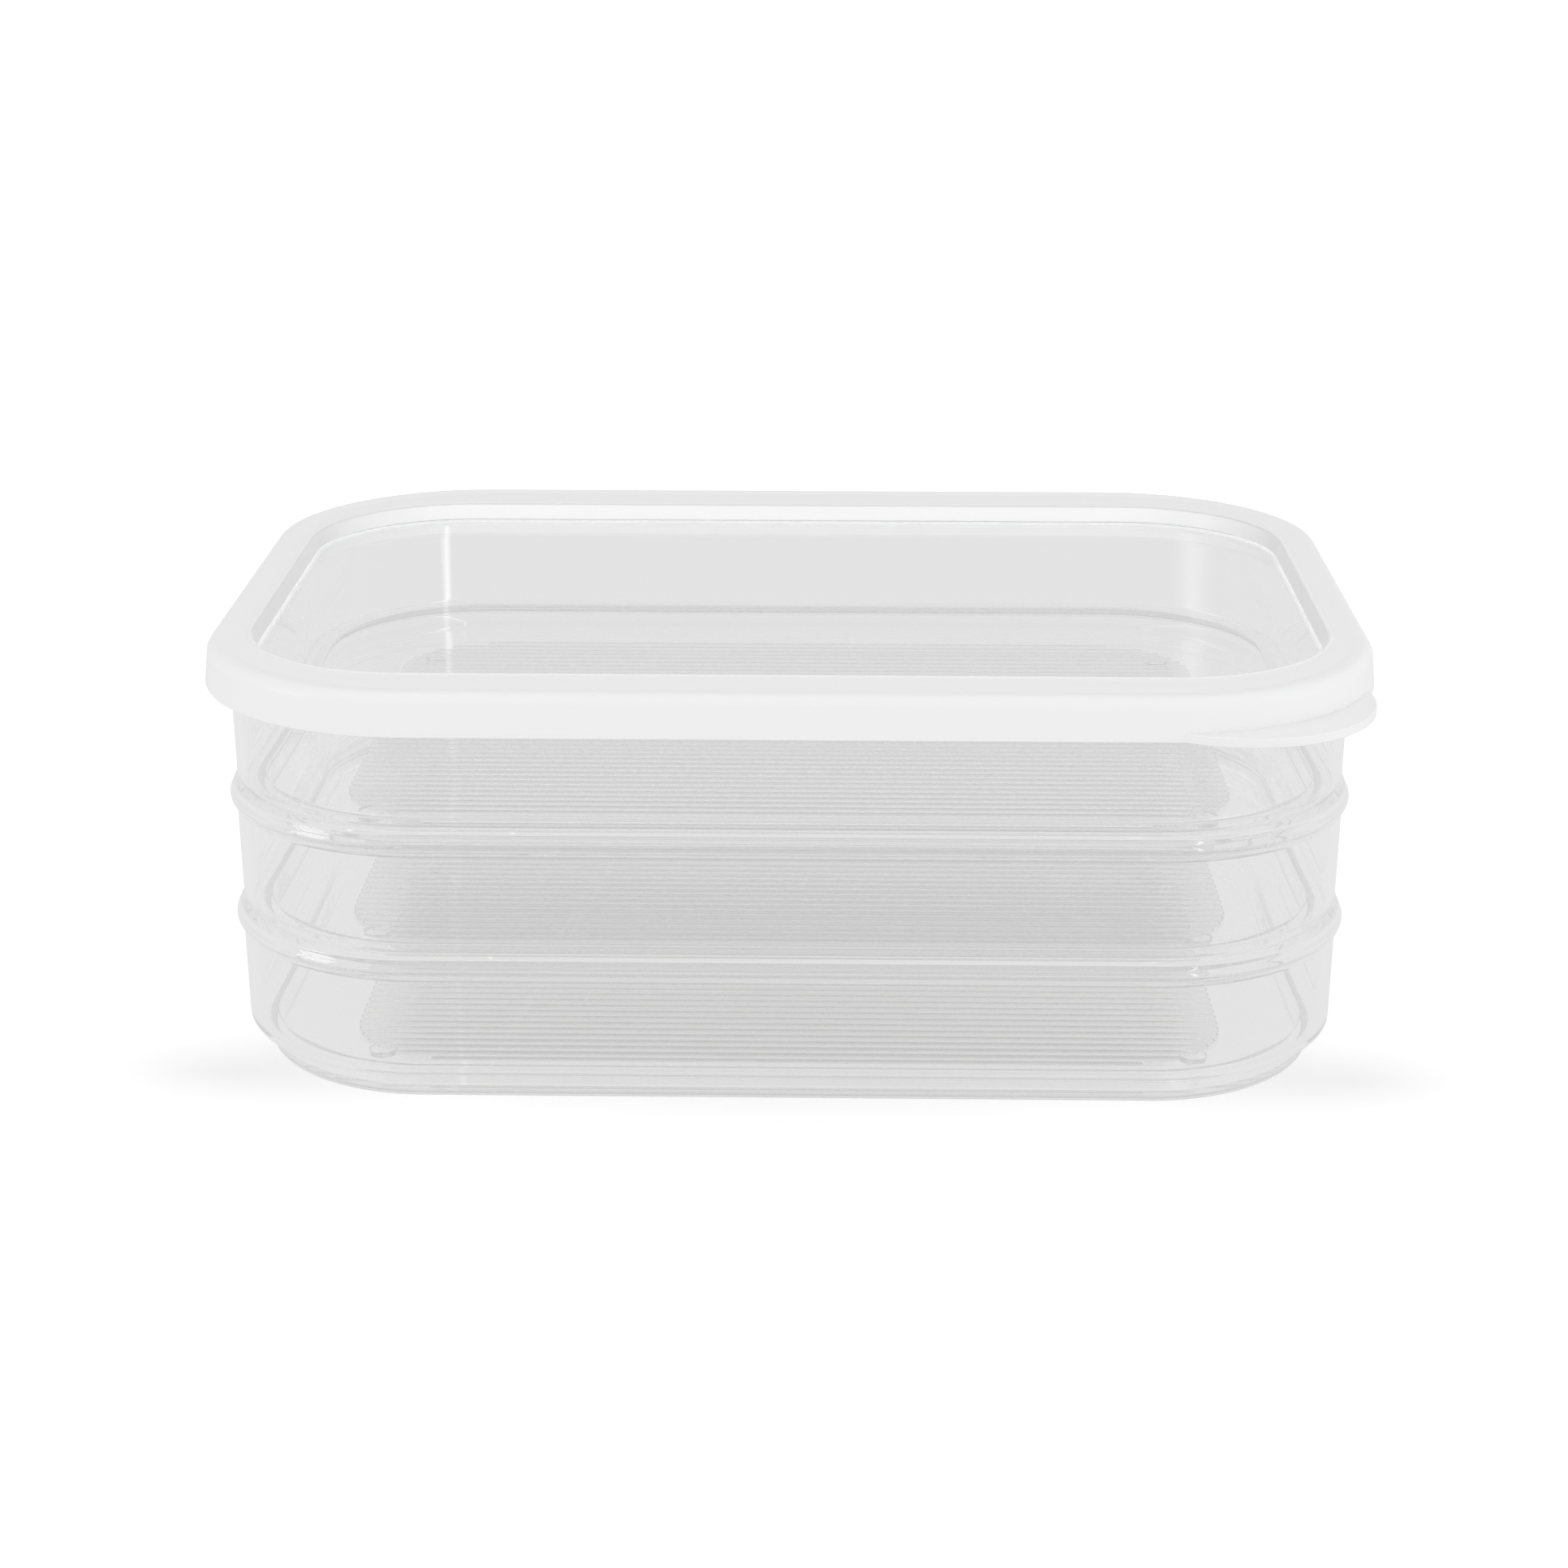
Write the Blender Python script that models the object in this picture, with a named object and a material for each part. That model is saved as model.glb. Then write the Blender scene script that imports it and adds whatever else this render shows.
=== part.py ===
"""Fridge bin: three clear stacking trays under one lid. Metres, +Z up.

The stack stands on the bottom tray's four studs at Z = 0. X runs along the
long side, and the lid's pull tab is at the +X, -Y corner.

Every rim, wall and ledge is a cross-section swept round an outline: the lid's
outer edge, or the edge of the well in the lid's top. A cross-section point is
(inset, height): how far it lies inside that outline, and how high it is above
the piece's own base.
"""
import math

import bmesh
import bpy

MM = 0.001

# Outlines, seen from above: rectangles with round corners, as half length,
# half width and corner radius.
OUTLINE = (122.5 * MM, 89.0 * MM, 47.0 * MM)
WELL = (113.3 * MM, 72.5 * MM, 35.0 * MM)

# Straight steps that stand for a quarter turn of a round stretch.
CORNER_STEPS = 8
CREST_STEPS = 4
ROUND_STEPS = 3
LIP_STEPS = 2
EDGE_STEPS = 1

# Tray, with heights above the underside of its own studs.
TRAY_PITCH = 27.05 * MM
WALL = 2.0 * MM
STUD_HEIGHT = 1.5 * MM
STUD_RADIUS = 3.0 * MM
STUD_STEPS = 20
STUD_X = 87.0 * MM
STUD_Y = 55.0 * MM
FLOOR_TOP = STUD_HEIGHT + 2.2 * MM
FOOT_INSET = 9.9 * MM
FOOT_ROUND = 2.0 * MM
SHOULDER_UNDERSIDE = 7.7 * MM
SHOULDER_INSET = 5.5 * MM
SHOULDER_ROUND = 1.8 * MM
WALL_TOP_INSET = 5.15 * MM
BEAD_BOTTOM = 29.4 * MM
BEAD_INSET = 3.8 * MM
LIP_TOP = 34.4 * MM
LIP_ROUND = 0.6 * MM
INNER_INSET = 7.4 * MM
INNER_DRAFT = 0.1 * MM
LEDGE_TOP = SHOULDER_UNDERSIDE + WALL
LEDGE_ROUND = 0.9 * MM
STEP_INSET = FOOT_INSET + WALL
STEP_ROUND = 1.4 * MM
FLOOR_EDGE_INSET = 17.0 * MM

# Ribs moulded on the tray floor, running along X.
RIB_PITCH = 3.3 * MM
RIB_WIDTH = 1.1 * MM
RIB_HEIGHT = 0.6 * MM
RIB_FIELD_X = 94.0 * MM
RIB_FIELD_Y = 63.0 * MM
RIB_FIELD_CORNER = 22.0 * MM
RIBS_EACH_SIDE = 19

# Lid rim, with heights above the underside of the top tray's studs.
GAP = 0.35 * MM
SKIRT_BOTTOM = 29.2 * MM
SKIRT_ROUND = 0.4 * MM
SKIRT_INNER_INSET = 3.2 * MM
SKIRT_TOP_INSET = 0.6 * MM
RIM_TOP = 38.0 * MM
RIM_ROUND = 2.4 * MM
RIM_THICKNESS = 1.6 * MM
RIM_EDGE_ROUND = 0.3 * MM
SEAT_OUTER_INSET = 5.2 * MM
SEAT_INNER_INSET = 6.6 * MM
PLUG_OUTER_INSET = 8.0 * MM
PLUG_INNER_INSET = 9.0 * MM
PLUG_BOTTOM = 31.4 * MM

# Flat band between the rim's crest and the well, wider at the front and back.
BAND_TOP = 37.8 * MM
BAND_THICKNESS = 1.5 * MM
BAND_OUTER_INSET = 8.5 * MM
BAND_BITE = 0.5 * MM

# Wall of the well, whose groove holds the clear panel. Insets are from WELL.
WELL_ROUND = 0.55 * MM
WELL_DRAFT = 0.8 * MM
WELL_LIP = 0.8 * MM
WELL_LIP_INSET = 1.0 * MM
PANEL_TOP = 33.9 * MM
PANEL_THICKNESS = 1.4 * MM
PANEL_INSET = -0.2 * MM
GROOVE_GAP = 0.3 * MM

# Pull tab: a flat crescent round the +X, -Y corner, level with the skirt's foot.
TAB_THICKNESS = 2.0 * MM
TAB_RADIUS = 28.0 * MM
TAB_X = 91.8 * MM
TAB_Y = -64.0 * MM
TAB_CUT_INSET = 1.6 * MM
TAB_STEPS = 48

# The tab reaches past the front, so the stack stands back by half of that.
TAB_REACH = TAB_RADIUS - TAB_Y - OUTLINE[1]
STACK_Y = TAB_REACH / 2.0

# Plastics: color, roughness and how much light passes through.
CLEAR = ((0.86, 0.87, 0.88), 0.06, 0.9)
WHITE = ((0.90, 0.90, 0.90), 0.30, 0.3)
PLASTIC_IOR = 1.49

WELD = 0.01 * MM
SHADE_ANGLE = math.radians(35.0)


def clear_scene():
    for old in list(bpy.data.objects):
        bpy.data.objects.remove(old, do_unlink=True)


def collection(name):
    made = bpy.data.collections.new(name)
    bpy.context.scene.collection.children.link(made)
    return made


def plastic(name, color, roughness, transmission):
    made = bpy.data.materials.new(name)
    made.use_nodes = True
    shader = made.node_tree.nodes["Principled BSDF"]
    shader.inputs["Base Color"].default_value = (*color, 1.0)
    shader.inputs["Roughness"].default_value = roughness
    shader.inputs["Metallic"].default_value = 0.0
    shader.inputs["IOR"].default_value = PLASTIC_IOR
    shader.inputs["Transmission Weight"].default_value = transmission
    return made


def arc(center, radius, start, end, steps=ROUND_STEPS):
    """Points of a round stretch, from angle start to angle end in degrees."""
    points = []
    for step in range(steps + 1):
        angle = math.radians(start + (end - start) * step / steps)
        points.append((center[0] + radius * math.cos(angle), center[1] + radius * math.sin(angle)))
    return points


def inside(shape, inset):
    """The rounded rectangle that lies this far inside an outline."""
    half_x, half_y, corner = shape
    x = half_x - corner
    y = half_y - corner
    radius = corner - inset
    points = arc((x, y), radius, 0, 90, CORNER_STEPS)
    points += arc((-x, y), radius, 90, 180, CORNER_STEPS)
    points += arc((-x, -y), radius, 180, 270, CORNER_STEPS)
    points += arc((x, -y), radius, 270, 360, CORNER_STEPS)
    return points


def poly_curve(name, lines, cyclic=True):
    curve = bpy.data.curves.new(name, "CURVE")
    curve.dimensions = "2D"
    for points in lines:
        spline = curve.splines.new("POLY")
        spline.points.add(len(points) - 1)
        for index, (x, y) in enumerate(points):
            spline.points[index].co = (x, y, 0.0, 1.0)
        spline.use_cyclic_u = cyclic
    return curve


def mesh_object(name, curve_object):
    """A mesh of what a curve draws, with its open loops welded and filled."""
    graph = bpy.context.evaluated_depsgraph_get()
    mesh = bpy.data.meshes.new_from_object(curve_object.evaluated_get(graph))
    form = bmesh.new()
    form.from_mesh(mesh)
    bmesh.ops.remove_doubles(form, verts=form.verts[:], dist=WELD)
    rims = [edge for edge in form.edges if edge.is_boundary]
    bmesh.ops.holes_fill(form, edges=rims, sides=0)
    bmesh.ops.recalc_face_normals(form, faces=form.faces[:])
    form.to_mesh(mesh)
    form.free()
    mesh.name = name
    mesh.transform(curve_object.matrix_world)
    bpy.data.objects.remove(curve_object, do_unlink=True)
    return bpy.data.objects.new(name, mesh)


def sweep(name, shape, section, closed):
    """A cross-section of (inset, height) points, carried round an outline."""
    profile = bpy.data.objects.new(name + "_section", poly_curve(name, [section], closed))
    path_curve = poly_curve(name, [inside(shape, 0.0)])
    path_curve.bevel_mode = "OBJECT"
    path_curve.bevel_object = profile
    path = bpy.data.objects.new(name + "_path", path_curve)
    for helper in (profile, path):
        bpy.context.scene.collection.objects.link(helper)
    bpy.context.view_layer.update()
    made = mesh_object(name, path)
    bpy.data.objects.remove(profile, do_unlink=True)
    return made


def plate(name, edges, bottom, top):
    """A flat plate inside its first edge line, with the other edge lines as holes."""
    curve = poly_curve(name, edges)
    curve.fill_mode = "BOTH"
    curve.extrude = (top - bottom) / 2.0
    flat = bpy.data.objects.new(name + "_outline", curve)
    flat.location.z = (top + bottom) / 2.0
    bpy.context.scene.collection.objects.link(flat)
    bpy.context.view_layer.update()
    return mesh_object(name, flat)


def box_rows(name, rows, width, bottom, top):
    """One box along X for each row, given as (half length, y)."""
    form = bmesh.new()
    for half_length, y in rows:
        corners = bmesh.ops.create_cube(form, size=1.0)["verts"]
        bmesh.ops.scale(form, verts=corners, vec=(2.0 * half_length, width, top - bottom))
        bmesh.ops.translate(form, verts=corners, vec=(0.0, y, (top + bottom) / 2.0))
    mesh = bpy.data.meshes.new(name)
    form.to_mesh(mesh)
    form.free()
    return bpy.data.objects.new(name, mesh)


def discs(name, centers, radius, bottom, top, steps):
    """One upright cylinder at each centre."""
    form = bmesh.new()
    for x, y in centers:
        made = bmesh.ops.create_cone(form, cap_ends=True, segments=steps, radius1=radius,
                                     radius2=radius, depth=top - bottom)["verts"]
        bmesh.ops.translate(form, verts=made, vec=(x, y, (top + bottom) / 2.0))
    mesh = bpy.data.meshes.new(name)
    form.to_mesh(mesh)
    form.free()
    return bpy.data.objects.new(name, mesh)


def combine(target, tool, operation, tools):
    """Cut or join a target with a tool, which stays hidden in its own collection."""
    tools.objects.link(tool)
    tool.hide_render = True
    tool.display_type = "WIRE"
    modifier = target.modifiers.new(tool.name, "BOOLEAN")
    modifier.operation = operation
    modifier.solver = "EXACT"
    modifier.object = tool


def finish(piece, material, place, parts):
    piece.location = place
    piece.data.materials.clear()
    piece.data.materials.append(material)
    piece.data.shade_smooth()
    piece.data.set_sharp_from_angle(angle=SHADE_ANGLE)
    parts.objects.link(piece)


def tray_section():
    """From under the floor, out and up the wall, over the lip and down inside."""
    foot = arc((FOOT_INSET + FOOT_ROUND, STUD_HEIGHT + FOOT_ROUND), FOOT_ROUND, 270, 180)
    shoulder_center = (SHOULDER_INSET + SHOULDER_ROUND, SHOULDER_UNDERSIDE + SHOULDER_ROUND)
    shoulder = arc(shoulder_center, SHOULDER_ROUND, 270, 180)
    bead_middle = (BEAD_BOTTOM + LIP_TOP) / 2.0
    bead_reach = LIP_TOP - bead_middle - LIP_ROUND
    bead = [
        (WALL_TOP_INSET, BEAD_BOTTOM),
        (BEAD_INSET + LIP_ROUND / 2.0, bead_middle - bead_reach / 2.0),
        (BEAD_INSET, bead_middle),
        (BEAD_INSET + LIP_ROUND / 2.0, bead_middle + bead_reach / 2.0),
    ]
    lip = arc((WALL_TOP_INSET, LIP_TOP - LIP_ROUND), LIP_ROUND, 180, 90, LIP_STEPS)
    lip += arc((INNER_INSET - LIP_ROUND, LIP_TOP - LIP_ROUND), LIP_ROUND, 90, 0, LIP_STEPS)
    wall_foot = INNER_INSET + INNER_DRAFT
    ledge = arc((wall_foot + LEDGE_ROUND, LEDGE_TOP + LEDGE_ROUND), LEDGE_ROUND, 180, 270, LIP_STEPS)
    ledge += arc((STEP_INSET - LEDGE_ROUND, LEDGE_TOP - LEDGE_ROUND), LEDGE_ROUND, 90, 0, LIP_STEPS)
    step = arc((STEP_INSET + STEP_ROUND, FLOOR_TOP + STEP_ROUND), STEP_ROUND, 180, 270)
    points = [(FLOOR_EDGE_INSET, STUD_HEIGHT)]
    points += foot
    points += [(FOOT_INSET, SHOULDER_UNDERSIDE)]
    points += shoulder
    points += bead
    points += lip
    points += ledge
    points += step
    points += [(FLOOR_EDGE_INSET, FLOOR_TOP)]
    return points


def rib_rows():
    """Where each rib lies, shortened where the ribbed field's corners are round."""
    rows = []
    for index in range(-RIBS_EACH_SIDE, RIBS_EACH_SIDE + 1):
        y = index * RIB_PITCH
        past = max(0.0, abs(y) - (RIB_FIELD_Y - RIB_FIELD_CORNER))
        half = RIB_FIELD_X - RIB_FIELD_CORNER + math.sqrt(RIB_FIELD_CORNER ** 2 - past ** 2)
        rows.append((half, y))
    return rows


def make_tray(name, level, material, parts, tools):
    tray = sweep(name, OUTLINE, tray_section(), False)
    bite = WALL / 4.0
    ribs = box_rows(name + "_ribs", rib_rows(), RIB_WIDTH, FLOOR_TOP - bite, FLOOR_TOP + RIB_HEIGHT)
    corners = [(STUD_X * a, STUD_Y * b) for a in (-1, 1) for b in (-1, 1)]
    studs = discs(name + "_studs", corners, STUD_RADIUS, 0.0, STUD_HEIGHT + bite, STUD_STEPS)
    place = (0.0, STACK_Y, level * TRAY_PITCH)
    for tool in (ribs, studs):
        combine(tray, tool, "UNION", tools)
        tool.location = place
    finish(tray, material, place, parts)


def rim_section():
    """Once round the rim: skirt, crest, plug fin, seat rib and underside."""
    rim_underside = RIM_TOP - RIM_THICKNESS
    seat_bottom = LIP_TOP + GAP
    points = arc((SKIRT_ROUND, SKIRT_BOTTOM + SKIRT_ROUND), SKIRT_ROUND, 270, 180, EDGE_STEPS)
    points += arc((SKIRT_TOP_INSET + RIM_ROUND, RIM_TOP - RIM_ROUND), RIM_ROUND, 180, 90, CREST_STEPS)
    edge_center = (PLUG_INNER_INSET - RIM_EDGE_ROUND, RIM_TOP - RIM_EDGE_ROUND)
    points += arc(edge_center, RIM_EDGE_ROUND, 90, 0, EDGE_STEPS)
    points += [
        (PLUG_INNER_INSET, PLUG_BOTTOM),
        (PLUG_OUTER_INSET, PLUG_BOTTOM),
        (PLUG_OUTER_INSET, rim_underside),
        (SEAT_INNER_INSET, rim_underside),
        (SEAT_INNER_INSET, seat_bottom),
        (SEAT_OUTER_INSET, seat_bottom),
        (SEAT_OUTER_INSET, rim_underside),
        (SKIRT_INNER_INSET, rim_underside),
        (SKIRT_INNER_INSET, SKIRT_BOTTOM),
    ]
    return points


def well_section():
    """Once round the well's wall: rounded edge, inner face, groove and lip."""
    points = arc((-WELL_ROUND, RIM_TOP - WELL_ROUND), WELL_ROUND, 180, 0, CREST_STEPS)
    groove_top = PANEL_TOP + GROOVE_GAP
    groove_bottom = PANEL_TOP - PANEL_THICKNESS - GROOVE_GAP
    groove_end = PANEL_INSET - GROOVE_GAP
    points += [
        (WELL_DRAFT, groove_top),
        (groove_end, groove_top),
        (groove_end, groove_bottom),
        (WELL_LIP_INSET, groove_bottom),
        (WELL_LIP_INSET, groove_bottom - WELL_LIP),
        (-2.0 * WELL_ROUND, groove_bottom - WELL_LIP),
    ]
    return points


def make_tab(tools):
    """The pull tab's crescent: a disc without what lies inside the skirt."""
    top = SKIRT_BOTTOM + TAB_THICKNESS
    tab = discs("tab", [(TAB_X, TAB_Y)], TAB_RADIUS, SKIRT_BOTTOM, top, TAB_STEPS)
    hollow = plate("tab_hollow", [inside(OUTLINE, TAB_CUT_INSET)], SKIRT_BOTTOM - WALL, top + WALL)
    combine(tab, hollow, "DIFFERENCE", tools)
    return tab, hollow


def make_lid(material_rim, material_panel, parts, tools):
    place = (0.0, STACK_Y, 2.0 * TRAY_PITCH)
    rim = sweep("lid_rim", OUTLINE, rim_section(), True)
    band_edges = [inside(OUTLINE, BAND_OUTER_INSET), inside(WELL, -BAND_BITE)]
    band = plate("band", band_edges, BAND_TOP - BAND_THICKNESS, BAND_TOP)
    well = sweep("well", WELL, well_section(), True)
    tab, hollow = make_tab(tools)
    for tool in (band, well, tab):
        combine(rim, tool, "UNION", tools)
    for tool in (band, well, tab, hollow):
        tool.location = place
    finish(rim, material_rim, place, parts)
    edge = inside(WELL, PANEL_INSET)
    panel = plate("lid_panel", [edge], PANEL_TOP - PANEL_THICKNESS, PANEL_TOP)
    finish(panel, material_panel, place, parts)


def main():
    clear_scene()
    parts = collection("fridge_bin")
    tools = collection("cutters")
    clear_plastic = plastic("clear_plastic", *CLEAR)
    white_plastic = plastic("white_plastic", *WHITE)
    for level, name in enumerate(("bottom_tray", "middle_tray", "top_tray")):
        make_tray(name, level, clear_plastic, parts, tools)
    make_lid(white_plastic, clear_plastic, parts, tools)


main()
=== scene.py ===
"""Fridge bin: the finished look of three clear stacking trays under one lid.

Each piece is a finer version of one CAD node, worked out from that node's box. A rim,
wall or ledge is a section of (inset, height) points carried round an outline: the inset
is how far a point lies inside the outline, the height is above the piece's own base.
"""

import math

import bmesh
import bpy
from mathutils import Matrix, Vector


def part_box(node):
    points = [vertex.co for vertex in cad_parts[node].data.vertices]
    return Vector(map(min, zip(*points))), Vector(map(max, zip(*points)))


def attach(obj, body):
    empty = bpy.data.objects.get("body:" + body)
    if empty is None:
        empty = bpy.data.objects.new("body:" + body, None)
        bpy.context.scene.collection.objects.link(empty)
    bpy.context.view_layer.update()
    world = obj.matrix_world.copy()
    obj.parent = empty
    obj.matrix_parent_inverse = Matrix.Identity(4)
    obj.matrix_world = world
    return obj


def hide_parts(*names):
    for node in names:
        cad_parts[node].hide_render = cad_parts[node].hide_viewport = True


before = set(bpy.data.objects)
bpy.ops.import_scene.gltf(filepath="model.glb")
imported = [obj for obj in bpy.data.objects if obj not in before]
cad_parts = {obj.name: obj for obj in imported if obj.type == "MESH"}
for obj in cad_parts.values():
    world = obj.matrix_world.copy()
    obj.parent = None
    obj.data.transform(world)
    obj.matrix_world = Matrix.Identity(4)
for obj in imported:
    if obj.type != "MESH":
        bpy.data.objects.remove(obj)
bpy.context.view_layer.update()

MM = 0.001

# Places and overall sizes, from the frame.
TRAYS = (("bottom_tray", "bottom"), ("middle_tray", "middle"), ("top_tray", "top"))
TRAY_LOW, TRAY_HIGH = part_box("bottom_tray")
RIM_LOW, RIM_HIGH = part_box("lid_rim")
PANEL_LOW, PANEL_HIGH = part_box("lid_panel")
CENTER_Y = (TRAY_LOW.y + TRAY_HIGH.y) / 2.0
LID_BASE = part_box("top_tray")[0].z

# Outlines, seen from above: half length, half width and corner radius.
OUTLINE = (RIM_HIGH.x, RIM_HIGH.y - CENTER_Y, 47.0 * MM)
WELL = (OUTLINE[0] - 9.2 * MM, OUTLINE[1] - 16.5 * MM, 35.0 * MM)
CORNER_STEPS = 40
SIDE_STEPS = 6

# Faces along a quarter round, from large rounds to small ones.
ROUND_STEPS = 6
LIP_STEPS = 5
EDGE_STEPS = 4
THIN_STEPS = 3

# Tray, with heights above the underside of its own studs.
WALL = 2.0 * MM
STUD_HEIGHT = 1.5 * MM
STUD_RADIUS = 3.0 * MM
STUD_EDGE = 0.5 * MM
STUD_STEPS = 40
STUD_BITE = WALL / 4.0
STUD_X = 87.0 * MM
STUD_Y = 55.0 * MM
FLOOR_TOP = STUD_HEIGHT + 2.2 * MM
FOOT_INSET = 9.9 * MM
FOOT_ROUND = 2.0 * MM
SHOULDER_UNDERSIDE = 7.7 * MM
SHOULDER_INSET = 5.5 * MM
SHOULDER_ROUND = 1.8 * MM
NECK_ROUND = 0.4 * MM
WALL_TOP_INSET = 5.15 * MM
BEAD_BOTTOM = 29.4 * MM
BEAD_INSET = OUTLINE[0] - TRAY_HIGH.x
BEAD_HALF_STEPS = 4
BEAD_HALF_TURN = math.pi / 3.0
BEAD_FILL = 0.8
LIP_TOP = TRAY_HIGH.z - TRAY_LOW.z
LIP_ROUND = 0.6 * MM
INNER_INSET = 7.4 * MM
INNER_DRAFT = 0.1 * MM
LEDGE_TOP = SHOULDER_UNDERSIDE + WALL
LEDGE_ROUND = 0.5 * MM
STEP_INSET = FOOT_INSET + WALL
STEP_ROUND = 0.8 * MM
FLOOR_EDGE_INSET = 17.0 * MM

# Ribs on the tray floor, along X.
RIB_PITCH = 3.3 * MM
RIB_WIDTH = 1.1 * MM
RIB_HEIGHT = 0.6 * MM
RIB_FIELD_X = 94.0 * MM
RIB_FIELD_Y = 63.0 * MM
RIB_FIELD_CORNER = 22.0 * MM
RIBS_EACH_SIDE = 19
RIB_SIDES = 16
RIB_END_STEPS = 4
RIB_TIP_ANGLE = 8.0

# Lid rim, with heights above the underside of the top tray's studs.
GAP = 0.35 * MM
SKIRT_BOTTOM = RIM_LOW.z - LID_BASE
SKIRT_ROUND = 0.4 * MM
SKIRT_INNER_INSET = 3.2 * MM
SKIRT_TOP_INSET = 0.6 * MM
RIM_TOP = RIM_HIGH.z - LID_BASE
RIM_ROUND = 2.4 * MM
RIM_THICKNESS = 1.6 * MM
RIM_EDGE_ROUND = 0.3 * MM
RIM_ROUND_STEPS = 12
SEAT_OUTER_INSET = 5.2 * MM
SEAT_INNER_INSET = 6.6 * MM
PLUG_OUTER_INSET = 8.0 * MM
PLUG_INNER_INSET = 9.0 * MM
PLUG_BOTTOM = 31.4 * MM
BAND_TOP = RIM_TOP - 0.25 * MM
CREST_INSET = 3.4 * MM
CREST_FOOT_INSET = 6.4 * MM
CREST_STEPS = 8
BAND_THICKNESS = 1.5 * MM
BAND_OUTER_INSET = 8.5 * MM
BAND_BITE = 0.5 * MM

# Wall of the well. Insets are from WELL.
WELL_ROUND = 0.55 * MM
WELL_ROUND_STEPS = 10
WELL_DRAFT = 0.8 * MM
WELL_LIP = 0.8 * MM
WELL_LIP_INSET = 1.0 * MM
PANEL_TOP = PANEL_HIGH.z - LID_BASE
PANEL_THICKNESS = PANEL_HIGH.z - PANEL_LOW.z
PANEL_INSET = -0.2 * MM
PANEL_EDGE = 0.2 * MM
GROOVE_GAP = 0.3 * MM

# Pull tab.
TAB_THICKNESS = 2.0 * MM
TAB_RADIUS = 28.0 * MM
TAB_X = 91.8 * MM
TAB_Y = -64.0 * MM
TAB_CUT_INSET = 1.6 * MM
TAB_CUT_PAST = 2.0 * MM
TAB_EDGE = 0.35 * MM
TAB_STEPS = 160

WELD = 0.005 * MM
SHADE_ANGLE = math.radians(32.0)
FACE_WEIGHT = 100

# Surface of a plastic: the scale and depth of its wave, then of its grain. Its roughness
# goes from the first value to the second with the grain.
CLEAR_SURFACE = (30.0, 0.0008 * MM, 900.0, 0.00001 * MM)
CLEAR_ROUGHNESS = (0.0012, 0.0028)
MILKY_SURFACE = (30.0, 0.02 * MM, 1500.0, 0.002 * MM)
MILKY_ROUGHNESS = (0.18, 0.26)
WAVE_DETAIL = 1.0
GRAIN_DETAIL = 3.0
PLASTIC_IOR = 1.49

# Tint of the clear plastic, in the ribbed field and round it, and for lamplight. The trays'
# darker tint in the ribbed field is painted shade.
TRAY_TINTS_WITH_RIB_SHADE = (0.91, 0.995)
PANEL_TINTS = (0.972, 0.972)
LAMPLIGHT_TINT = (0.985, 0.985, 0.987, 1.0)

# A ray that has met more surfaces than this ends in a painted glow that stands in for
# scattered light, this bright in the ribbed field and round it; the dimmer glow in the
# ribbed field is painted shade.
TRAPPED_DEPTH = 12.0
TRAPPED_GLOWS = (0.60, 0.78)

# Milky plastic, and the painted glow that stands in for light coming through it at the faces
# hidden under the rim and at the back and sides of the well.
MILKY_COLOR = (0.90, 0.90, 0.90, 1.0)
MILKY_SPECULAR = 0.12
HIDDEN_BELOW = PANEL_HIGH.z + 2.0 * GROOVE_GAP
HIDDEN_PAINTED_GLOW = 0.30
BACK_PAINTED_GLOW = 0.24
SIDE_PAINTED_GLOW = 0.05

# Camera: place, then tilt and turn in degrees and focal length in millimetres.
CAMERA_PLACE = (12.2 * MM, -677.5 * MM + CENTER_Y, 273.3 * MM)
CAMERA_TILT = 71.33
CAMERA_TURN = 1.183
CAMERA_LENS = 72.2

# Upright bright lines in the backdrop: degrees from +Y, half width in degrees and strength.
# On the floor they are painted lines of light, which fan out from a fixed point, the main
# camera's, and fade under the stack.
STREAKS = ((-7.53, 0.09, 0.30), (6.57, 0.40, 0.10))
STREAK_FAN = CAMERA_PLACE
STREAK_FADE = 4.0

# Floor. A pair is for the open floor and for the middle of the shade under the stack.
FLOOR_SIZE = 6.0
FLOOR_DROP = 0.01 * MM
FLOOR_COLOR = (0.25, 0.25, 0.25, 1.0)
FLOOR_GLOWS = (0.91, 0.56)
FLOOR_GLOWS_IN_PLASTIC = (0.81, 0.69)
SHADE_REACH = (0.22, 0.17)

# Faint shadow on the floor beside the stack's front corners.
CORNER_SHADE_X = 118.0 * MM
CORNER_SHADE_Y = CENTER_Y - 63.0 * MM
CORNER_SHADE_REACH = (48.0 * MM, 26.0 * MM)
CORNER_SHADE_DEPTH = 0.18

# Backdrop: how bright it is to the eye. In the plastic, a direction's Y and how bright the
# backdrop is there, at the front and at the back.
BACKDROP_WHITE = 1.2
BACKDROP_FRONT = (-0.2, 0.60)
BACKDROP_BACK = (0.92, 0.98)

# Lamps: name, place, width and height in metres, power in watts, and if gloss mirrors it.
LAMPS = (
    ("overhead", (0.0, 0.1, 1.3), 1.2, 1.0, 2.9, True),
    ("strip", (0.70, -1.28, 0.42), 0.07, 0.80, 0.9, True),
    ("side", (-1.15, -0.50, 0.36), 0.45, 0.60, 3.0, True),
    ("front_fill", (0.0, -1.4, 0.8), 1.4, 0.8, 4.6, False),
    ("back_fill", (0.0, 1.2, 0.9), 1.4, 0.8, 0.7, False),
    ("right_fill", (1.4, -0.5, 0.5), 0.8, 0.8, 4.8, False),
)

# Surfaces that a ray may meet.
MAX_BOUNCES = 24
GLOSSY_BOUNCES = 16
TRANSPARENT_BOUNCES = 32


def arc(center, radius, start, end, steps=ROUND_STEPS):
    """Points of a round stretch, from angle start to angle end in degrees."""
    points = []
    for step in range(steps + 1):
        angle = math.radians(start + (end - start) * step / steps)
        points.append((center[0] + radius * math.cos(angle),
                       center[1] + radius * math.sin(angle)))
    return points


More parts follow.
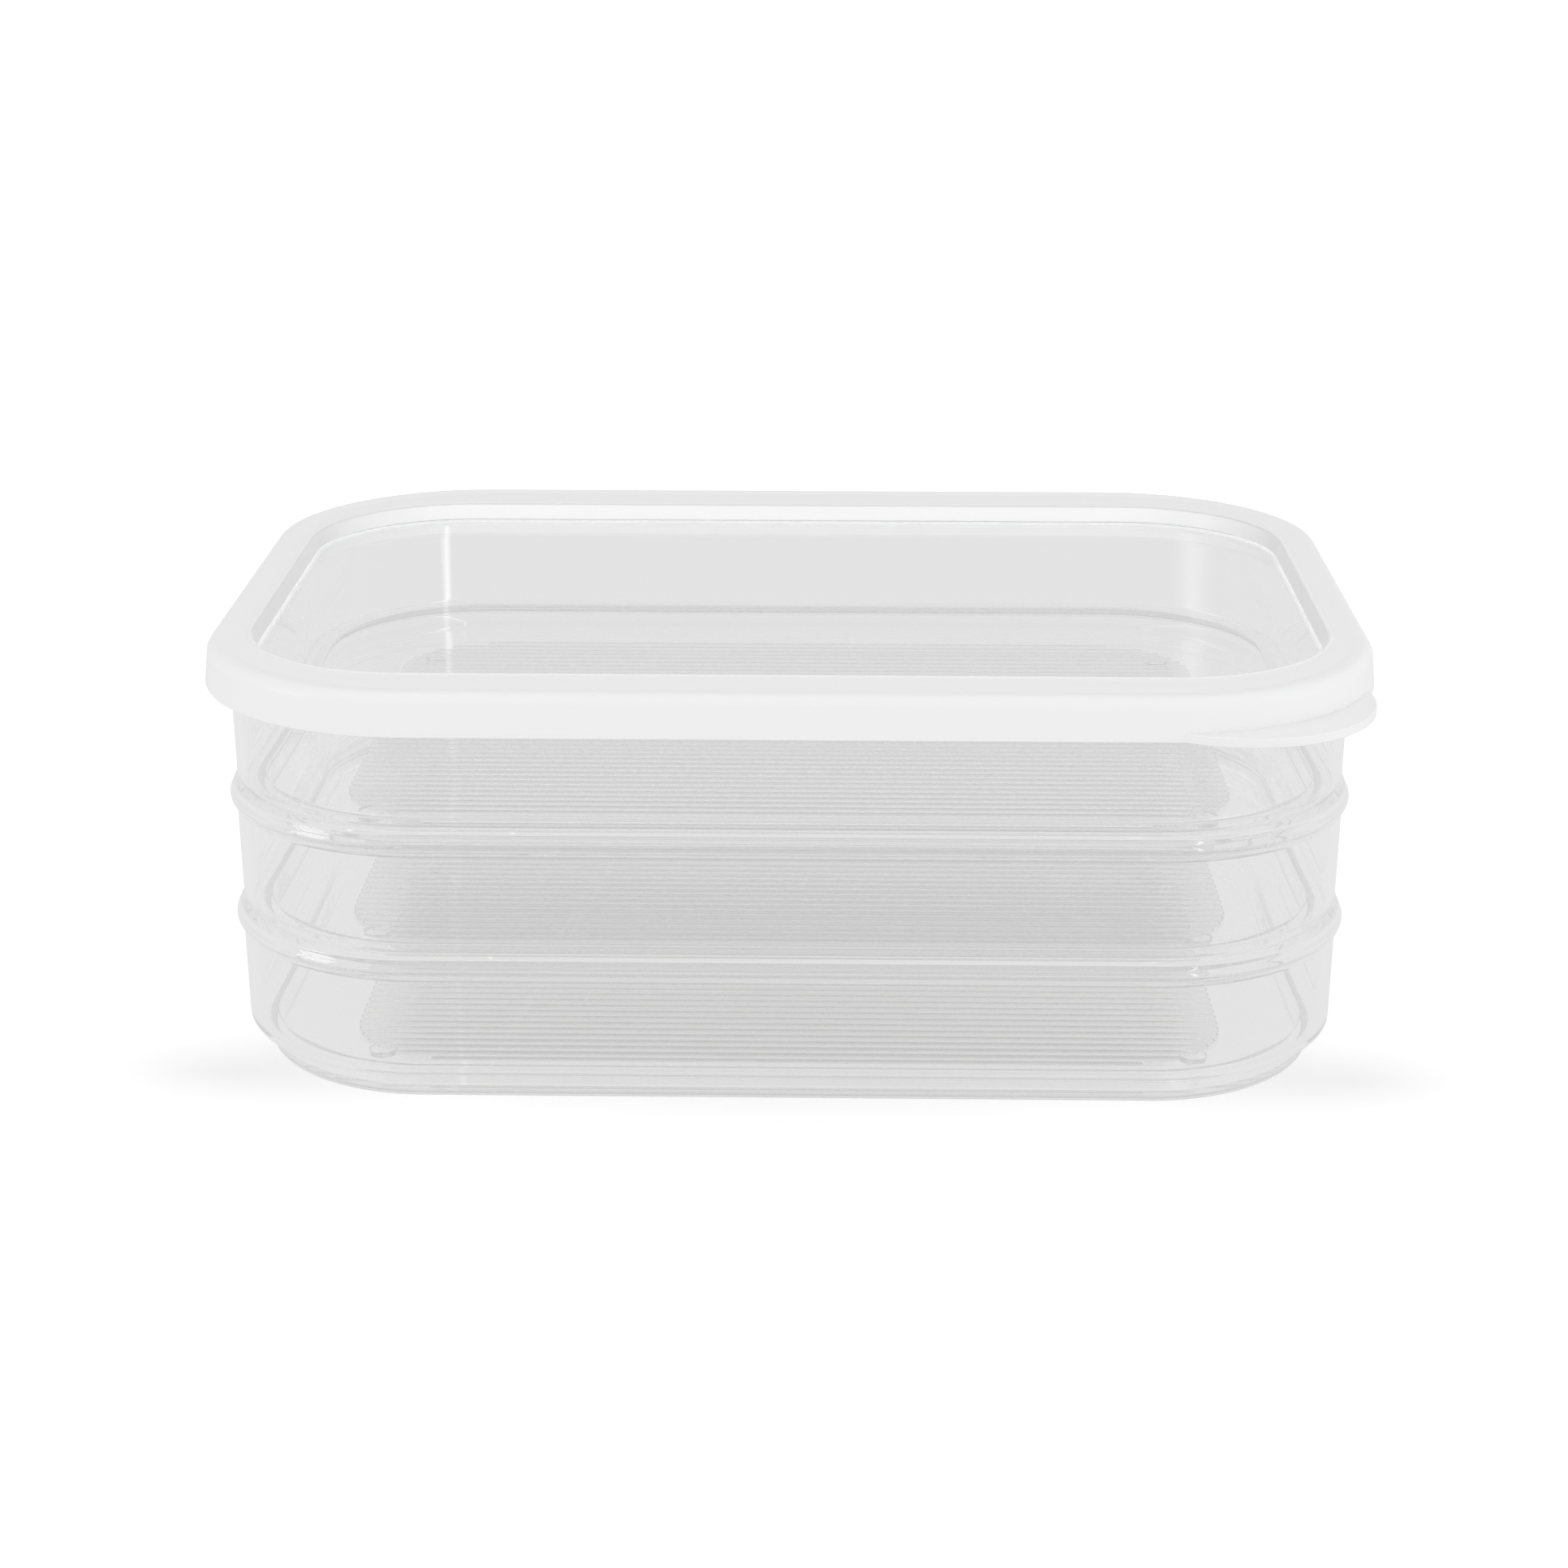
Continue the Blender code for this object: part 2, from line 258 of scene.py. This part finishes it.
def inside(shape, inset):
    """The rounded rectangle that lies this far inside an outline, counter-clockwise."""
    half_x, half_y, corner = shape
    x = half_x - corner
    y = half_y - corner
    radius = corner - inset
    corners = [arc((x * a, y * b), radius, turn, turn + 90, CORNER_STEPS)
               for a, b, turn in ((1, 1, 0), (-1, 1, 90), (-1, -1, 180), (1, -1, 270))]
    points = []
    for index, corner_points in enumerate(corners):
        points += corner_points
        start = corner_points[-1]
        end = corners[(index + 1) % len(corners)][0]
        for step in range(1, SIDE_STEPS):
            share = step / SIDE_STEPS
            points.append((start[0] + (end[0] - start[0]) * share,
                           start[1] + (end[1] - start[1]) * share))
    return points


def depth_inside(shape, point):
    """How far inside an outline a point lies."""
    half_x, half_y, corner = shape
    x = abs(point.x) - half_x + corner
    y = abs(point.y - CENTER_Y) - half_y + corner
    return corner - math.hypot(max(x, 0.0), max(y, 0.0)) - min(max(x, y), 0.0)


def ring(form, points, z):
    """Vertices at one height, from points about the stack's middle."""
    return [form.verts.new((x, y + CENTER_Y, z)) for x, y in points]


def skin(form, rings, closed):
    """Faces between neighbouring rings of points."""
    pairs = list(zip(rings, rings[1:]))
    if closed:
        pairs.append((rings[-1], rings[0]))
    for low, high in pairs:
        count = len(low)
        for index in range(count):
            after = (index + 1) % count
            form.faces.new((low[index], low[after], high[after], high[index]))


def mesh_object(name, form):
    """A scene object from a bmesh, with its faces turned outwards."""
    bmesh.ops.recalc_face_normals(form, faces=form.faces[:])
    mesh = bpy.data.meshes.new(name)
    form.to_mesh(mesh)
    form.free()
    made = bpy.data.objects.new(name, mesh)
    bpy.context.scene.collection.objects.link(made)
    return made


def sweep(name, shape, section, base, closed):
    """A section of (inset, height) points round an outline; an open one is capped flat."""
    form = bmesh.new()
    rings = [ring(form, inside(shape, inset), base + height) for inset, height in section]
    skin(form, rings, closed)
    if not closed:
        form.faces.new(rings[0])
        form.faces.new(rings[-1])
    return mesh_object(name, form)


def plate(name, shape, inset, bottom, top, edge):
    """A flat plate with rounded edges."""
    section = arc((inset + edge, bottom + edge), edge, 270, 180, THIN_STEPS)
    section += arc((inset + edge, top - edge), edge, 180, 90, THIN_STEPS)
    return sweep(name, shape, section, 0.0, False)


def turned(name, centers, section, base, steps):
    """One solid of revolution at each centre, from (radius, height) points."""
    form = bmesh.new()
    for x, y in centers:
        rings = []
        for radius, height in section:
            circle = arc((x, y), radius, 0, 360, steps)[:-1]
            rings.append(ring(form, circle, base + height))
        skin(form, rings, False)
        form.faces.new(rings[0])
        form.faces.new(rings[-1])
    return mesh_object(name, form)


def join(target, tool, operation="UNION"):
    """Joins or cuts the target with a tool, which is then removed."""
    modifier = target.modifiers.new(tool.name, "BOOLEAN")
    modifier.operation = operation
    modifier.solver = "EXACT"
    modifier.object = tool
    graph = bpy.context.evaluated_depsgraph_get()
    mesh = bpy.data.meshes.new_from_object(target.evaluated_get(graph))
    target.modifiers.clear()
    target.data = mesh
    bpy.data.objects.remove(tool, do_unlink=True)


def finish_piece(piece, node, body, material):
    """Cleans and smooths a piece, and puts it in its node's place on its body."""
    form = bmesh.new()
    form.from_mesh(piece.data)
    bmesh.ops.remove_doubles(form, verts=form.verts[:], dist=WELD)
    bmesh.ops.dissolve_degenerate(form, edges=form.edges[:], dist=WELD)
    form.to_mesh(piece.data)
    form.free()
    piece.data.materials.clear()
    piece.data.materials.append(material)
    piece.data.shade_smooth()
    piece.data.set_sharp_from_angle(angle=SHADE_ANGLE)
    evened = piece.modifiers.new("flat_faces", "WEIGHTED_NORMAL")
    evened.weight = FACE_WEIGHT
    evened.keep_sharp = True
    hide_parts(node)
    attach(piece, body)


def tray_section():
    """From under the floor, out and up the wall, over the lip and down inside."""
    foot = arc((FOOT_INSET + FOOT_ROUND, STUD_HEIGHT + FOOT_ROUND), FOOT_ROUND, 270, 180)
    neck_center = (FOOT_INSET - NECK_ROUND, SHOULDER_UNDERSIDE - NECK_ROUND)
    neck = arc(neck_center, NECK_ROUND, 0, 90, EDGE_STEPS)
    shoulder_center = (SHOULDER_INSET + SHOULDER_ROUND, SHOULDER_UNDERSIDE + SHOULDER_ROUND)
    shoulder = arc(shoulder_center, SHOULDER_ROUND, 270, 180)
    bead_middle = (BEAD_BOTTOM + LIP_TOP) / 2.0
    bead_reach = LIP_TOP - LIP_ROUND - bead_middle
    bead = [(WALL_TOP_INSET, BEAD_BOTTOM)]
    for step in range(-BEAD_HALF_STEPS, BEAD_HALF_STEPS + 1):
        share = step / BEAD_HALF_STEPS
        bulge = math.cos(share * BEAD_HALF_TURN)
        bead.append((WALL_TOP_INSET - (WALL_TOP_INSET - BEAD_INSET) * bulge,
                     bead_middle + bead_reach * share * BEAD_FILL))
    lip_middle = LIP_TOP - LIP_ROUND
    lip = arc((WALL_TOP_INSET, lip_middle), LIP_ROUND, 180, 90, LIP_STEPS)
    lip += arc((INNER_INSET - LIP_ROUND, lip_middle), LIP_ROUND, 90, 0, LIP_STEPS)
    hollow_center = (INNER_INSET + INNER_DRAFT + LEDGE_ROUND, LEDGE_TOP + LEDGE_ROUND)
    ledge = arc(hollow_center, LEDGE_ROUND, 180, 270, LIP_STEPS)
    brow_center = (STEP_INSET - LEDGE_ROUND, LEDGE_TOP - LEDGE_ROUND)
    ledge += arc(brow_center, LEDGE_ROUND, 90, 0, LIP_STEPS)
    step = arc((STEP_INSET + STEP_ROUND, FLOOR_TOP + STEP_ROUND), STEP_ROUND, 180, 270)
    points = [(FLOOR_EDGE_INSET, STUD_HEIGHT)]
    points += foot
    points += neck
    points += shoulder
    points += bead
    points += lip
    points += ledge
    points += step
    points += [(FLOOR_EDGE_INSET, FLOOR_TOP)]
    return points


def make_ribs(name, base):
    """Rounded ribs, shortened where the ribbed field's corners are round."""
    form = bmesh.new()
    for index in range(-RIBS_EACH_SIDE, RIBS_EACH_SIDE + 1):
        y = index * RIB_PITCH
        past = max(0.0, abs(y) - (RIB_FIELD_Y - RIB_FIELD_CORNER))
        half = RIB_FIELD_X - RIB_FIELD_CORNER + math.sqrt(RIB_FIELD_CORNER ** 2 - past ** 2)
        stations = []
        for step in range(RIB_END_STEPS + 1):
            turn = (90.0 - RIB_TIP_ANGLE) * step / RIB_END_STEPS
            angle = math.radians(RIB_TIP_ANGLE + turn)
            stations.append((half - RIB_WIDTH / 2.0 * (1.0 - math.cos(angle)), math.sin(angle)))
        stations += [(-x, scale) for x, scale in stations]
        rings = []
        for x, scale in sorted(stations):
            section = arc((0.0, 0.0), 1.0, 0, 360, RIB_SIDES)[:-1]
            rings.append([form.verts.new((x, CENTER_Y + y + RIB_WIDTH / 2.0 * scale * a,
                                          base + FLOOR_TOP + RIB_HEIGHT * scale * b))
                          for a, b in section])
        skin(form, rings, False)
        form.faces.new(rings[0])
        form.faces.new(rings[-1])
    return mesh_object(name, form)


def make_studs(name, base):
    """The four round studs, which reach a little way into the tray's floor."""
    edge_center = (STUD_RADIUS - STUD_EDGE, STUD_EDGE)
    section = [(STUD_RADIUS - STUD_EDGE, 0.0)]
    section += arc(edge_center, STUD_EDGE, 270, 360, EDGE_STEPS)[1:]
    section += [(STUD_RADIUS, STUD_HEIGHT + STUD_BITE)]
    corners = [(STUD_X * a, STUD_Y * b) for a in (-1, 1) for b in (-1, 1)]
    return turned(name, corners, section, base, STUD_STEPS)


def make_tray(node, body, material):
    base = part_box(node)[0].z
    tray = sweep("clear_" + node, OUTLINE, tray_section(), base, False)
    join(tray, make_ribs(node + "_ribs", base))
    join(tray, make_studs(node + "_studs", base))
    finish_piece(tray, node, body, material)


def rim_section():
    """Once round the rim: skirt, crest, plug fin, seat rib and underside."""
    rim_underside = RIM_TOP - RIM_THICKNESS
    seat_bottom = LIP_TOP + GAP
    skirt_center = (SKIRT_ROUND, SKIRT_BOTTOM + SKIRT_ROUND)
    crest_center = (SKIRT_TOP_INSET + RIM_ROUND, RIM_TOP - RIM_ROUND)
    points = arc(skirt_center, SKIRT_ROUND, 270, 180, EDGE_STEPS)
    points += arc(crest_center, RIM_ROUND, 180, 90, RIM_ROUND_STEPS)
    for step in range(CREST_STEPS + 1):
        share = step / CREST_STEPS
        drop = (1.0 - math.cos(math.pi * share)) / 2.0
        inset = CREST_INSET + (CREST_FOOT_INSET - CREST_INSET) * share
        points.append((inset, RIM_TOP - (RIM_TOP - BAND_TOP) * drop))
    edge_center = (PLUG_INNER_INSET - RIM_EDGE_ROUND, BAND_TOP - RIM_EDGE_ROUND)
    points += arc(edge_center, RIM_EDGE_ROUND, 90, 0, THIN_STEPS)
    points += [
        (PLUG_INNER_INSET, PLUG_BOTTOM),
        (PLUG_OUTER_INSET, PLUG_BOTTOM),
        (PLUG_OUTER_INSET, rim_underside),
        (SEAT_INNER_INSET, rim_underside),
        (SEAT_INNER_INSET, seat_bottom),
        (SEAT_OUTER_INSET, seat_bottom),
        (SEAT_OUTER_INSET, rim_underside),
        (SKIRT_INNER_INSET, rim_underside),
        (SKIRT_INNER_INSET, SKIRT_BOTTOM),
    ]
    return points


def make_band():
    """A flat ring between the rim's crest and the well, wider at the front and back."""
    form = bmesh.new()
    outer = inside(OUTLINE, BAND_OUTER_INSET)
    inner = inside(WELL, -BAND_BITE)
    low = LID_BASE + BAND_TOP - BAND_THICKNESS
    high = LID_BASE + BAND_TOP
    rings = [ring(form, outer, low), ring(form, outer, high),
             ring(form, inner, high), ring(form, inner, low)]
    skin(form, rings, True)
    return mesh_object("band", form)


def well_section():
    """Once round the well's wall: rounded edge, inner face, groove and lip."""
    points = arc((-WELL_ROUND, RIM_TOP - WELL_ROUND), WELL_ROUND, 180, 0, WELL_ROUND_STEPS)
    groove_top = PANEL_TOP + GROOVE_GAP
    groove_bottom = PANEL_TOP - PANEL_THICKNESS - GROOVE_GAP
    groove_end = PANEL_INSET - GROOVE_GAP
    points += [
        (WELL_DRAFT, groove_top),
        (groove_end, groove_top),
        (groove_end, groove_bottom),
        (WELL_LIP_INSET, groove_bottom),
        (WELL_LIP_INSET, groove_bottom - WELL_LIP),
        (-2.0 * WELL_ROUND, groove_bottom - WELL_LIP),
    ]
    return points


def make_tab():
    """The pull tab's crescent: a round-edged disc without what lies inside the skirt."""
    top = SKIRT_BOTTOM + TAB_THICKNESS
    middle = TAB_RADIUS - TAB_EDGE
    section = arc((middle, SKIRT_BOTTOM + TAB_EDGE), TAB_EDGE, 270, 360, EDGE_STEPS)
    section += arc((middle, top - TAB_EDGE), TAB_EDGE, 0, 90, EDGE_STEPS)
    tab = turned("tab", [(TAB_X, TAB_Y)], section, LID_BASE, TAB_STEPS)
    hollow = plate("tab_hollow", OUTLINE, TAB_CUT_INSET, LID_BASE + SKIRT_BOTTOM - TAB_CUT_PAST,
                   LID_BASE + top + TAB_CUT_PAST, TAB_EDGE)
    join(tab, hollow, "DIFFERENCE")
    return tab


def make_rim(material):
    rim = sweep("white_rim", OUTLINE, rim_section(), LID_BASE, True)
    join(rim, make_band())
    join(rim, sweep("well", WELL, well_section(), LID_BASE, True))
    join(rim, make_tab())
    finish_piece(rim, "lid_rim", "lid", material)
    # Paints the rim's glow, which stands in for light through the plastic.
    paint_rim_glow(rim)


def paint_rim_glow(rim):
    """Writes to each face the strength of a painted glow that stands in for light coming
    through the rim's plastic there, stronger on faces turned to the front.
    """
    marks = rim.data.attributes.new("inner", "FLOAT", "FACE")
    for face, mark in zip(rim.data.polygons, marks.data):
        # Painted glow: faces hidden under the rim, and the well's faces, brighter facing the
        # front.
        if face.center.z < HIDDEN_BELOW and depth_inside(OUTLINE, face.center) > WALL:
            mark.value = HIDDEN_PAINTED_GLOW
        elif depth_inside(WELL, face.center) > 0.0:
            mark.value = max(SIDE_PAINTED_GLOW, -face.normal.y * BACK_PAINTED_GLOW)
        else:
            mark.value = 0.0


def make_panel(material):
    panel = plate("clear_panel", WELL, PANEL_INSET, PANEL_LOW.z, PANEL_HIGH.z, PANEL_EDGE)
    finish_piece(panel, "lid_panel", "lid", material)


class Nodes:
    """A short way to add and link nodes in one tree."""

    def __init__(self, tree):
        self.tree = tree

    def add(self, kind, **sockets):
        """A node with some inputs set or linked, where _ stands for a blank in a name."""
        node = self.tree.nodes.new(kind)
        for name, value in sockets.items():
            self.put(node, name.replace("_", " "), value)
        return node

    def math(self, operation, first, second=0.0):
        """What an operation makes of two numbers or sockets."""
        node = self.tree.nodes.new("ShaderNodeMath")
        node.operation = operation
        self.put(node, 0, first)
        self.put(node, 1, second)
        return node.outputs["Value"]

    def mix(self, share, first, second):
        """A mix of two shaders, by the second one's share."""
        node = self.tree.nodes.new("ShaderNodeMixShader")
        self.tree.links.new(share, node.inputs[0])
        self.tree.links.new(first, node.inputs[1])
        self.tree.links.new(second, node.inputs[2])
        return node.outputs["Shader"]

    def put(self, node, name, value):
        """Links a socket to an input, or sets the input to a plain value."""
        socket = node.inputs[name]
        if isinstance(value, bpy.types.NodeSocket):
            self.tree.links.new(value, socket)
        else:
            socket.default_value = value


def new_material(name):
    """A material with an empty tree, and the means to fill it."""
    made = bpy.data.materials.new(name)
    made.use_nodes = True
    made.node_tree.nodes.clear()
    return made, Nodes(made.node_tree)


def moulded_surface(nodes, wave_scale, wave_depth, grain_scale, grain_depth):
    """A bump of uneven shrinkage, as a slow wave under a fine grain, and the grain itself."""
    place = nodes.add("ShaderNodeTexCoord").outputs["Object"]
    wave = nodes.add("ShaderNodeTexNoise", Vector=place, Scale=wave_scale, Detail=WAVE_DETAIL)
    grain = nodes.add("ShaderNodeTexNoise", Vector=place, Scale=grain_scale, Detail=GRAIN_DETAIL)
    slow = nodes.add("ShaderNodeBump", Height=wave.outputs["Fac"], Distance=wave_depth,
                     Strength=1.0)
    fine = nodes.add("ShaderNodeBump", Height=grain.outputs["Fac"], Distance=grain_depth,
                     Strength=1.0, Normal=slow.outputs["Normal"])
    return fine.outputs["Normal"], grain.outputs["Fac"]


def spread(nodes, value, low, high):
    """A 0 to 1 pattern, carried to the range from low to high."""
    span = nodes.add("ShaderNodeMapRange", Value=value)
    span.inputs["To Min"].default_value = low
    span.inputs["To Max"].default_value = high
    return span.outputs["Result"]


def past_ribs(nodes):
    """0 over a tray floor's ribbed field, and 1 round it."""
    place = nodes.add("ShaderNodeTexCoord").outputs["Object"]
    axes = nodes.add("ShaderNodeSeparateXYZ", Vector=place)
    from_middle = nodes.math("SUBTRACT", axes.outputs["Y"], CENTER_Y)
    squares = []
    for value, half in ((axes.outputs["X"], RIB_FIELD_X), (from_middle, RIB_FIELD_Y)):
        past = nodes.math("SUBTRACT", nodes.math("ABSOLUTE", value), half - RIB_FIELD_CORNER)
        squares.append(nodes.math("POWER", nodes.math("MAXIMUM", past), 2.0))
    return nodes.math("GREATER_THAN", nodes.math("ADD", *squares), RIB_FIELD_CORNER ** 2)


def clear_plastic(name, ribbed, plain):
    """Clear moulded plastic that lamplight goes through, tinted among ribs and round them.
    A darker tint among a tray's ribs is painted shade, and rays lost deep in the plastic end
    in a painted glow.
    """
    made, nodes = new_material(name)
    normal, grain = moulded_surface(nodes, *CLEAR_SURFACE)
    outside = past_ribs(nodes)
    # Among a tray's ribs the tint is darker: painted shade.
    tint_with_rib_shade = (plain, plain, plain, 1.0) if ribbed == plain else spread(nodes, outside, ribbed, plain)
    body = nodes.add("ShaderNodeBsdfPrincipled", Base_Color=tint_with_rib_shade, IOR=PLASTIC_IOR, Normal=normal,
                     Roughness=spread(nodes, grain, *CLEAR_ROUGHNESS))
    body.inputs["Transmission Weight"].default_value = 1.0
    through = nodes.add("ShaderNodeBsdfTransparent", Color=LAMPLIGHT_TINT)
    path = nodes.add("ShaderNodeLightPath")
    lost = nodes.math("GREATER_THAN", path.outputs["Ray Depth"], TRAPPED_DEPTH)
    # Painted glow for rays lost deep in the plastic, dimmer among the ribs as painted shade.
    trapped_glow = nodes.add("ShaderNodeEmission", Strength=spread(nodes, outside, *TRAPPED_GLOWS))
    trapped = nodes.mix(lost, body.outputs["BSDF"], trapped_glow.outputs["Emission"])
    mixed = nodes.mix(path.outputs["Is Shadow Ray"], trapped, through.outputs["BSDF"])
    nodes.add("ShaderNodeOutputMaterial", Surface=mixed)
    return made


def white_plastic(name):
    """Milky white plastic with a soft sheen, and a painted glow that stands in for light
    through the plastic, as strong as each face's mark.
    """
    made, nodes = new_material(name)
    normal, grain = moulded_surface(nodes, *MILKY_SURFACE)
    body = nodes.add("ShaderNodeBsdfPrincipled", Base_Color=MILKY_COLOR, IOR=PLASTIC_IOR,
                     Normal=normal, Roughness=spread(nodes, grain, *MILKY_ROUGHNESS))
    body.inputs["Specular IOR Level"].default_value = MILKY_SPECULAR
    # Each face's mark sets the strength of the painted glow.
    inner = nodes.add("ShaderNodeAttribute")
    inner.attribute_name = "inner"
    nodes.put(body, "Emission Strength", inner.outputs["Fac"])
    body.inputs["Emission Color"].default_value = (1.0, 1.0, 1.0, 1.0)
    nodes.add("ShaderNodeOutputMaterial", Surface=body.outputs["BSDF"])
    return made


def streaks(nodes, direction):
    """How bright the backdrop's upright lines are in a direction."""
    axes = nodes.add("ShaderNodeSeparateXYZ", Vector=direction)
    turn = nodes.math("ARCTAN2", axes.outputs["X"], axes.outputs["Y"])
    total = 0.0
    for middle, half_width, strength in STREAKS:
        away = nodes.math("ABSOLUTE", nodes.math("SUBTRACT", turn, math.radians(middle)))
        line = nodes.add("ShaderNodeMapRange", Value=away)
        line.interpolation_type = "SMOOTHSTEP"
        line.inputs["From Max"].default_value = math.radians(half_width)
        line.inputs["To Min"].default_value = strength
        line.inputs["To Max"].default_value = 0.0
        total = nodes.math("ADD", line.outputs["Result"], total)
    return total


def corner_shade(nodes, place):
    """How dark the floor is beside the stack's two front corners."""
    axes = nodes.add("ShaderNodeSeparateXYZ", Vector=place)
    across = nodes.math("SUBTRACT", nodes.math("ABSOLUTE", axes.outputs["X"]), CORNER_SHADE_X)
    along = nodes.math("SUBTRACT", axes.outputs["Y"], CORNER_SHADE_Y)
    spot = nodes.add("ShaderNodeCombineXYZ")
    nodes.put(spot, "X", nodes.math("DIVIDE", across, CORNER_SHADE_REACH[0]))
    nodes.put(spot, "Y", nodes.math("DIVIDE", along, CORNER_SHADE_REACH[1]))
    fade = nodes.add("ShaderNodeTexGradient", Vector=spot.outputs["Vector"])
    fade.gradient_type = "SPHERICAL"
    return nodes.math("MULTIPLY", fade.outputs["Fac"], CORNER_SHADE_DEPTH)


def make_floor():
    """A pale sweep under the stack: white to the eye, greyer as seen through the plastic,
    with painted shade under the stack and painted lines of light.
    """
    form = bmesh.new()
    bmesh.ops.create_grid(form, x_segments=1, y_segments=1, size=FLOOR_SIZE)
    floor = mesh_object("floor", form)
    floor.location.z = -FLOOR_DROP
    made, nodes = new_material("paper")
    place = nodes.add("ShaderNodeTexCoord").outputs["Object"]
    stretch = nodes.add("ShaderNodeMapping", Vector=place)
    stretch.inputs["Scale"].default_value = (1.0 / SHADE_REACH[0], 1.0 / SHADE_REACH[1], 1.0)
    shade = nodes.add("ShaderNodeTexGradient", Vector=stretch.outputs["Vector"])
    shade.gradient_type = "QUADRATIC_SPHERE"
    fan = nodes.add("ShaderNodeVectorMath")
    fan.operation = "SUBTRACT"
    nodes.put(fan, 0, place)
    nodes.put(fan, 1, STREAK_FAN)
    # Painted lines of light on the floor, in line with the backdrop's bright lines.
    lines = streaks(nodes, fan.outputs["Vector"])
    unshaded = nodes.math("SUBTRACT", 1.0, shade.outputs["Fac"])
    lines = nodes.math("MULTIPLY", lines, nodes.math("POWER", unshaded, STREAK_FADE))
    in_plastic = spread(nodes, shade.outputs["Fac"], *FLOOR_GLOWS_IN_PLASTIC)
    through = nodes.add("ShaderNodeEmission", Strength=nodes.math("ADD", in_plastic, lines))
    diffuse = nodes.add("ShaderNodeBsdfDiffuse", Color=FLOOR_COLOR)
    glow = spread(nodes, shade.outputs["Fac"], *FLOOR_GLOWS)
    glow = nodes.math("SUBTRACT", glow, corner_shade(nodes, place))
    white = nodes.add("ShaderNodeEmission", Strength=glow)
    lit = nodes.tree.nodes.new("ShaderNodeAddShader")
    nodes.tree.links.new(diffuse.outputs["BSDF"], lit.inputs[0])
    nodes.tree.links.new(white.outputs["Emission"], lit.inputs[1])
    path = nodes.add("ShaderNodeLightPath")
    seen = nodes.mix(path.outputs["Is Camera Ray"], through.outputs["Emission"],
                     lit.outputs["Shader"])
    nodes.add("ShaderNodeOutputMaterial", Surface=seen)
    floor.data.materials.append(made)


def make_world():
    """White to the eye; in the plastic, nearly white at the back and grey at the front."""
    world = bpy.data.worlds.new("studio")
    world.use_nodes = True
    world.node_tree.nodes.clear()
    nodes = Nodes(world.node_tree)
    direction = nodes.add("ShaderNodeTexCoord").outputs["Generated"]
    axes = nodes.add("ShaderNodeSeparateXYZ", Vector=direction)
    lean = nodes.add("ShaderNodeMapRange", Value=axes.outputs["Y"])
    for end, (y, light) in (("Min", BACKDROP_FRONT), ("Max", BACKDROP_BACK)):
        lean.inputs["From " + end].default_value = y
        lean.inputs["To " + end].default_value = light
    light = nodes.math("ADD", lean.outputs["Result"], streaks(nodes, direction))
    grey = nodes.add("ShaderNodeBackground", Strength=light)
    white = nodes.add("ShaderNodeBackground", Strength=BACKDROP_WHITE)
    path = nodes.add("ShaderNodeLightPath")
    seen = nodes.mix(path.outputs["Is Camera Ray"], grey.outputs["Background"],
                     white.outputs["Background"])
    nodes.add("ShaderNodeOutputWorld", Surface=seen)
    bpy.context.scene.world = world


def softbox(name, place, width, height, power, mirrored):
    """A rectangular lamp that faces the stack. Only gloss may show it, and only if mirrored."""
    lamp = bpy.data.lights.new(name, "AREA")
    lamp.shape = "RECTANGLE"
    lamp.size = width
    lamp.size_y = height
    lamp.energy = power
    made = bpy.data.objects.new(name, lamp)
    made.location = place
    aim = Vector((0.0, CENTER_Y, RIM_HIGH.z / 2.0)) - Vector(place)
    made.rotation_euler = aim.to_track_quat("-Z", "Y").to_euler()
    made.visible_camera = False
    made.visible_glossy = mirrored
    made.visible_transmission = False
    bpy.context.scene.collection.objects.link(made)


def make_camera():
    lens = bpy.data.cameras.new("camera")
    lens.lens = CAMERA_LENS
    lens.dof.use_dof = False
    made = bpy.data.objects.new("camera", lens)
    made.location = CAMERA_PLACE
    made.rotation_euler = (math.radians(CAMERA_TILT), 0.0, math.radians(CAMERA_TURN))
    bpy.context.scene.collection.objects.link(made)
    bpy.context.scene.camera = made


def make_studio():
    make_floor()
    make_world()
    for lamp in LAMPS:
        softbox(*lamp)
    make_camera()
    scene = bpy.context.scene
    scene.view_settings.view_transform = "Standard"
    scene.cycles.max_bounces = MAX_BOUNCES
    scene.cycles.transmission_bounces = MAX_BOUNCES
    scene.cycles.glossy_bounces = GLOSSY_BOUNCES
    scene.cycles.transparent_max_bounces = TRANSPARENT_BOUNCES


def main():
    tray_plastic = clear_plastic("tray_plastic", *TRAY_TINTS_WITH_RIB_SHADE)
    panel_plastic = clear_plastic("panel_plastic", *PANEL_TINTS)
    rim_plastic = white_plastic("rim_plastic")
    for node, body in TRAYS:
        make_tray(node, body, tray_plastic)
    make_rim(rim_plastic)
    make_panel(panel_plastic)
    make_studio()


main()
